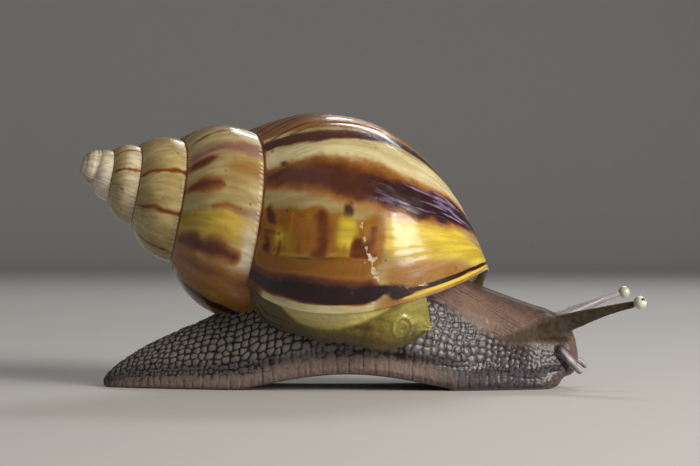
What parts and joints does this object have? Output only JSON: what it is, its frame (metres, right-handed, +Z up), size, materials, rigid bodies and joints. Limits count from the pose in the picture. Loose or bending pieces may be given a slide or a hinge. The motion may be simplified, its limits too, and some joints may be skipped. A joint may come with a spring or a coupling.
{
  "type": "giant african land snail",
  "caption": "Still life-size land snail with a tall coiled shell, body stretched out as if crawling, two pairs of feelers raised, resting on its sole.",
  "frame": {"origin": "on the floor, below the middle of the whole model's box", "axes": "+X towards the head, +Y to the animal's left, +Z up"},
  "size_m": [0.0764, 0.0338, 0.0376],
  "materials": {
    "apex_shell": "worn, satin, cream white",
    "spire_shell": "satin gloss, cream and olive with brown flames",
    "body_shell": "glossy, amber and cream with dark purple-brown flames",
    "new_shell": "thin, translucent yellow-olive, glossy",
    "mantle": "wet, pale cream",
    "skin": "wet, dark brown-grey with pale tubercles",
    "foot_skin": "wet, grey-brown with a lilac-brown grooved fringe",
    "feeler_skin": "wet, dark olive-brown",
    "pale_skin": "wet, pale lilac-grey, translucent",
    "eye": "wet, pale green-white bulb with a black pupil"
  },
  "bodies": {
    "root": {"shell_apex": "apex_shell", "shell_whorl_2": "spire_shell", "shell_whorl_3": "spire_shell", "shell_whorl_4": "spire_shell", "shell_body_whorl": "body_shell", "shell_growth_lip": "new_shell", "mantle_collar": "mantle", "tail": "skin", "foot_middle": "foot_skin", "foot_front": "foot_skin", "neck": "skin", "head": "skin", "upper_feeler_right": "feeler_skin", "upper_feeler_left": "feeler_skin", "lower_feeler_right": "pale_skin", "lower_feeler_left": "pale_skin", "mouth_lobe_right": "pale_skin", "mouth_lobe_left": "pale_skin", "eye_right": "eye", "eye_left": "eye"}
  },
  "joints": []
}
